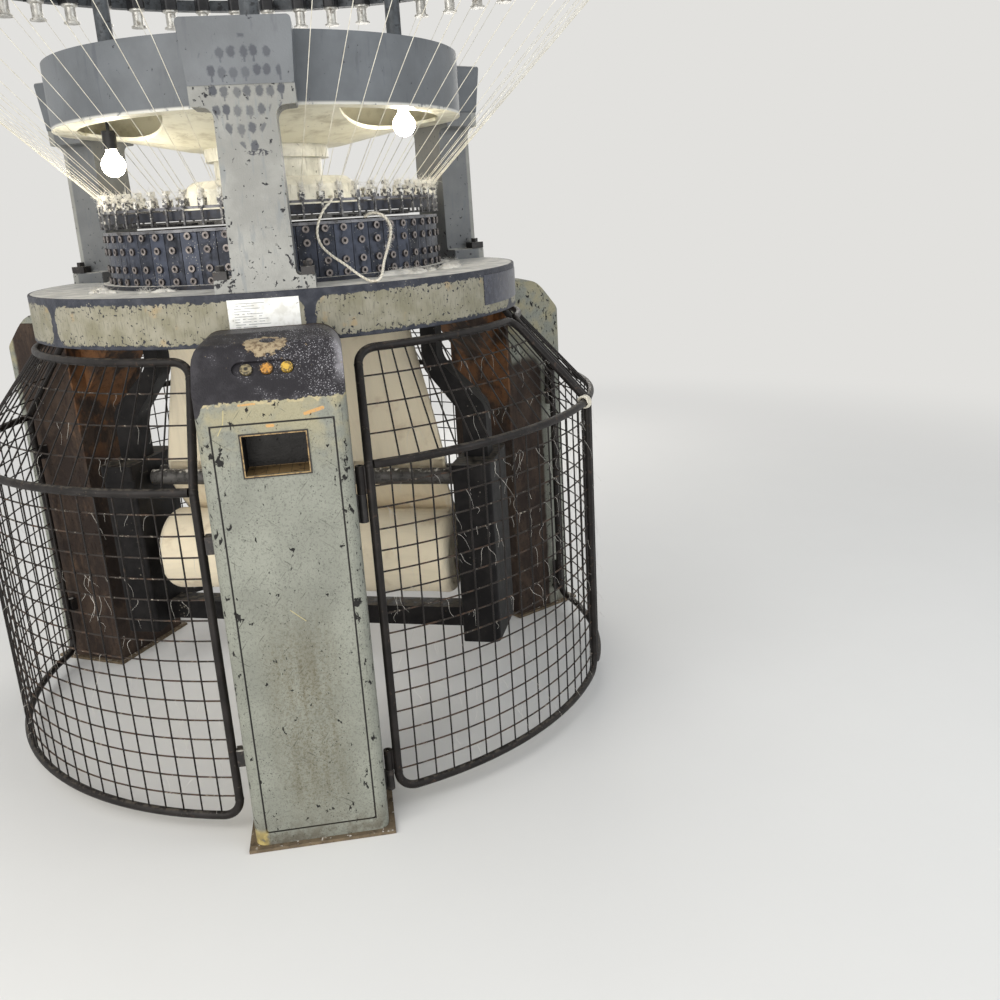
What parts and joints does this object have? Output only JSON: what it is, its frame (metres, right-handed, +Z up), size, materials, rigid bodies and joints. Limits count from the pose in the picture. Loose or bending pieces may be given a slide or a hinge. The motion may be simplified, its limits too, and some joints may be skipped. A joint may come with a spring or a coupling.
{
  "type": "circular knitting machine",
  "caption": "Circular double-knit machine: round bed on three pedestals, needle cylinder and dial, crown with yarn ring, turning take-down and wire gates.",
  "frame": {"origin": "on the floor under the axis of the needle cylinder", "axes": "+Z up along the cylinder's axis, the front pedestal towards -Y"},
  "size_m": [2.33, 2.33, 2.1763],
  "materials": {
    "bed_paint": "worn dark navy paint with cream peeled patches",
    "pedestal_paint": "pale grey-green hammered paint, chipped, near-black worn cap",
    "foot_plate": "rusty floor plate",
    "brass_edge": "dull brass edging",
    "column_paint": "grey paint with dark finger marks",
    "crown_paint": "blue-grey outside, cream underside",
    "cover_paint": "pale grey paint with lint",
    "dark_steel": "blue-black steel",
    "bright_steel": "plain steel",
    "feeder_metal": "cast feeders with lint",
    "guard_tube": "brown-black painted tube",
    "guard_wire": "rusty dark wire with lint",
    "takedown_black": "black painted castings",
    "lamp_glass": "lit frosted bulb",
    "black_plastic": "black plastic",
    "belt_rubber": "drive belt",
    "cloth": "cream knitted cloth",
    "yarn": "white yarn",
    "rope": "white cotton rope",
    "card": "paper card in a clear sleeve",
    "button_cream": "worn dirty cream",
    "button_orange": "orange-yellow",
    "button_yellow": "yellow"
  },
  "bodies": {
    "frame": {"bed_ring": "bed_paint", "gear_cover": "dark_steel", "main_bearing": "bright_steel", "leg_front": "pedestal_paint", "leg_rear_right": "pedestal_paint", "leg_rear_left": "pedestal_paint", "foot_plates": "foot_plate", "access_panel": "pedestal_paint", "window_bezel": "brass_edge", "column_front": "column_paint", "column_rear_right": "column_paint", "column_rear_left": "column_paint", "column_bolts": "dark_steel", "cam_base_ring": "dark_steel", "cam_segments": "dark_steel", "cam_bolts": "bright_steel", "cam_cap_ring": "bright_steel", "dial_cam_ring": "dark_steel", "feeder_ring": "bright_steel", "yarn_feeders": "feeder_metal", "dial_cover": "cover_paint", "crown_hub": "cover_paint", "crown": "crown_paint", "lamp_holders": "black_plastic", "lamp_bulbs": "lamp_glass", "guard_left": "guard_tube", "guard_rear": "guard_tube", "guard_hoops": "guard_wire", "guard_clamps": "dark_steel", "gate_hinge_pins": "dark_steel", "yarn_ring_arms": "dark_steel", "yarn_ring": "dark_steel", "storage_feeders": "black_plastic", "feeder_wheels": "black_plastic", "feeder_belt": "belt_rubber", "yarns": "yarn", "hanging_rope": "rope", "job_card": "card", "blank_plate": "dark_steel"},
    "cylinder": {"needle_cylinder": "bright_steel", "main_gear": "bright_steel", "takedown_arms": "takedown_black", "side_box_right": "takedown_black", "side_box_left": "takedown_black", "takedown_beam": "takedown_black", "cloth_web": "cloth"},
    "draw_roller_a": {"draw_roller_front": "bright_steel"},
    "draw_roller_b": {"draw_roller_back": "bright_steel"},
    "cloth_roll": {"roll_shaft": "bright_steel", "cloth_roll": "cloth"},
    "dial": {"needle_dial": "bright_steel", "dial_shaft": "bright_steel"},
    "pinion": {"drive_pinion": "bright_steel"},
    "gate_front": {"gate_front_leaf": "guard_tube", "gate_front_hoops": "guard_wire"},
    "gate_rear": {"gate_rear_leaf": "guard_tube", "gate_rear_hoops": "guard_wire"},
    "button_left": {"button_left": "button_cream"},
    "button_middle": {"button_middle": "button_orange"},
    "button_right": {"button_right": "button_yellow"}
  },
  "joints": [
    {"name": "cylinder_spin", "type": "hinge", "parent": "frame", "child": "cylinder", "pos_m": [0, 0, 1.2], "axis": [0, 0, 1], "continuous": true},
    {"name": "dial_spin", "type": "hinge", "parent": "frame", "child": "dial", "pos_m": [0, 0, 1.4], "axis": [0, 0, 1], "continuous": true},
    {"name": "pinion_spin", "type": "hinge", "parent": "frame", "child": "pinion", "pos_m": [-0.46765, 0.27, 1.14], "axis": [0, 0, 1], "continuous": true},
    {"name": "draw_roller_a_spin", "type": "hinge", "parent": "cylinder", "child": "draw_roller_a", "pos_m": [-0.00882, -0.02424, 0.64], "axis": [0.9397, -0.342, 0], "continuous": true},
    {"name": "draw_roller_b_spin", "type": "hinge", "parent": "cylinder", "child": "draw_roller_b", "pos_m": [0.00882, 0.02424, 0.64], "axis": [0.9397, -0.342, 0], "continuous": true},
    {"name": "cloth_roll_spin", "type": "hinge", "parent": "cylinder", "child": "cloth_roll", "pos_m": [0, 0, 0.4], "axis": [0.9397, -0.342, 0], "continuous": true},
    {"name": "gate_front_hinge", "type": "hinge", "parent": "frame", "child": "gate_front", "pos_m": [0.166, -0.85086, 0.45], "axis": [0, 0, -1], "range_deg": [0, 92]},
    {"name": "gate_rear_hinge", "type": "hinge", "parent": "frame", "child": "gate_rear", "pos_m": [0.81986, 0.28167, 0.45], "axis": [0, 0, 1], "range_deg": [0, 92]},
    {"name": "button_left_press", "type": "slide", "parent": "frame", "child": "button_left", "axis": [0, 0.7415, -0.6709], "range_m": [0, 0.004], "stiffness_N_per_m": 400},
    {"name": "button_middle_press", "type": "slide", "parent": "frame", "child": "button_middle", "axis": [0, 0.7415, -0.6709], "range_m": [0, 0.004], "stiffness_N_per_m": 400},
    {"name": "button_right_press", "type": "slide", "parent": "frame", "child": "button_right", "axis": [0, 0.7415, -0.6709], "range_m": [0, 0.004], "stiffness_N_per_m": 400}
  ],
  "couplings": [
    {"joint": "dial_spin", "follows": "cylinder_spin", "ratio": 1},
    {"joint": "pinion_spin", "follows": "cylinder_spin", "ratio": -8},
    {"joint": "draw_roller_b_spin", "follows": "draw_roller_a_spin", "ratio": -1}
  ]
}
